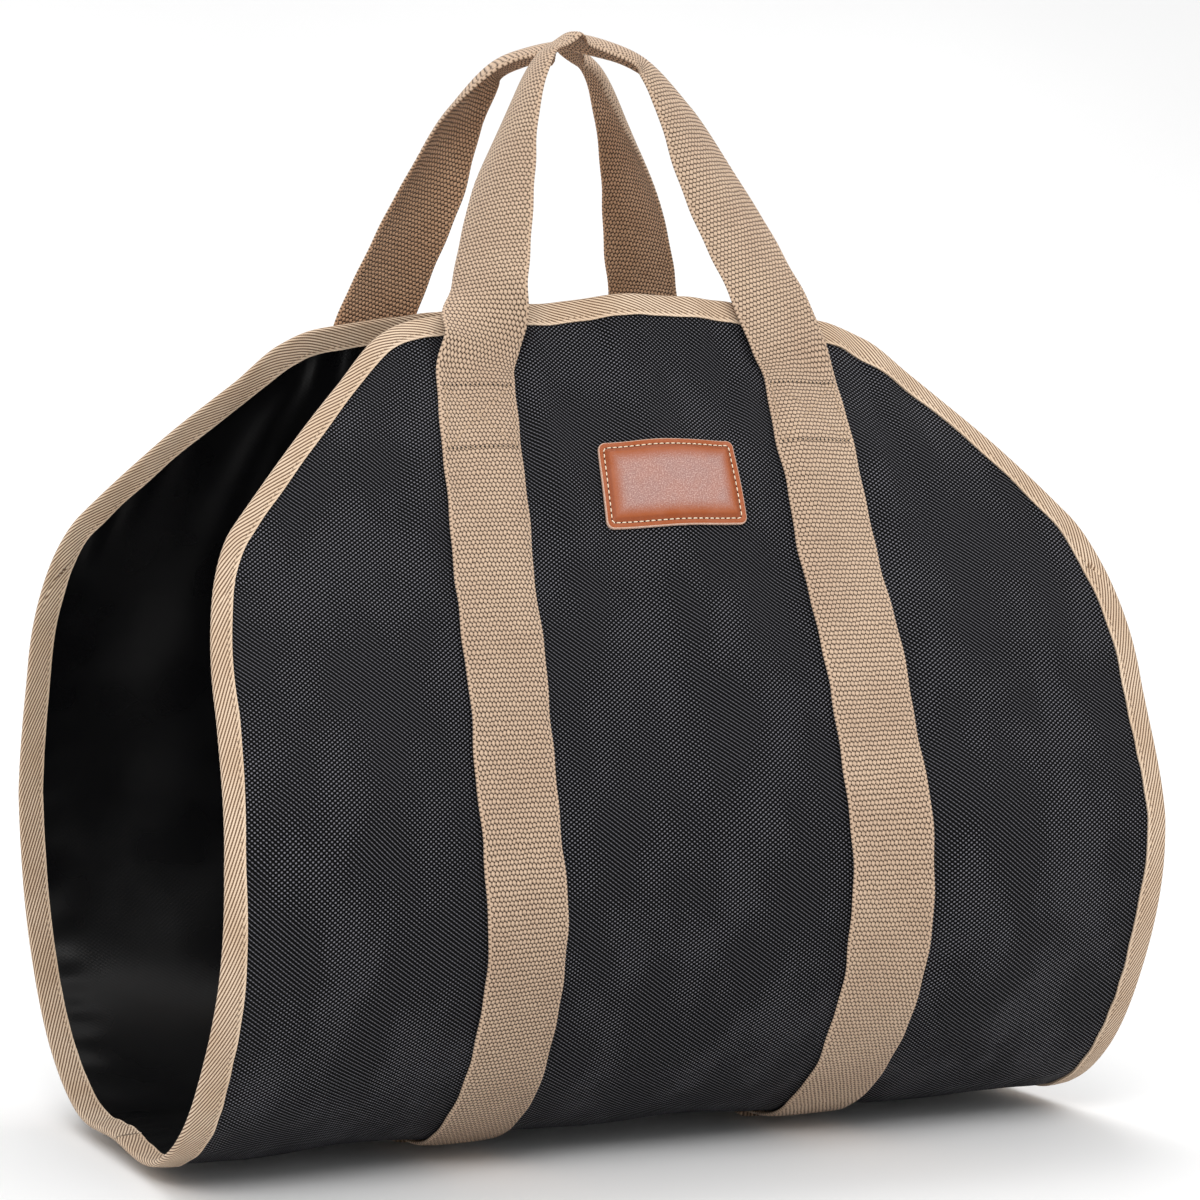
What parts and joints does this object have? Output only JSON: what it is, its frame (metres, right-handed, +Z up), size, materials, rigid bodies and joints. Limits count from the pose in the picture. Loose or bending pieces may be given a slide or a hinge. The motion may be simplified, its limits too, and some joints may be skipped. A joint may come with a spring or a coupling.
{
  "type": "firewood carrier tote",
  "caption": "Open-ended cloth tote for carrying logs: one sheet hung as a U, with bound edges, webbing under the load, loop handles and a leather patch.",
  "frame": {"origin": "the grip: the point under the hand that holds the tote up, on top of the two carrying loops where they lie side by side", "axes": "+X along the logs, from the open left end to the open right end; -Y out of the front panel, which has the patch; +Z up"},
  "size_m": [0.4634, 0.3291, 0.5128],
  "materials": {
    "coated_cloth": "black plain-weave cloth, matt outside, smooth glossy coating inside",
    "edge_tape": "beige twill tape, folded over the edge and stitched",
    "webbing": "beige heavy woven webbing, matt",
    "patch_leather": "tan-brown smooth leather, half gloss, cream stitches"
  },
  "bodies": {
    "root": {"canvas_body": "coated_cloth", "edge_binding": "edge_tape", "front_webbing": "webbing", "back_webbing": "webbing", "leather_patch": "patch_leather"}
  },
  "joints": []
}
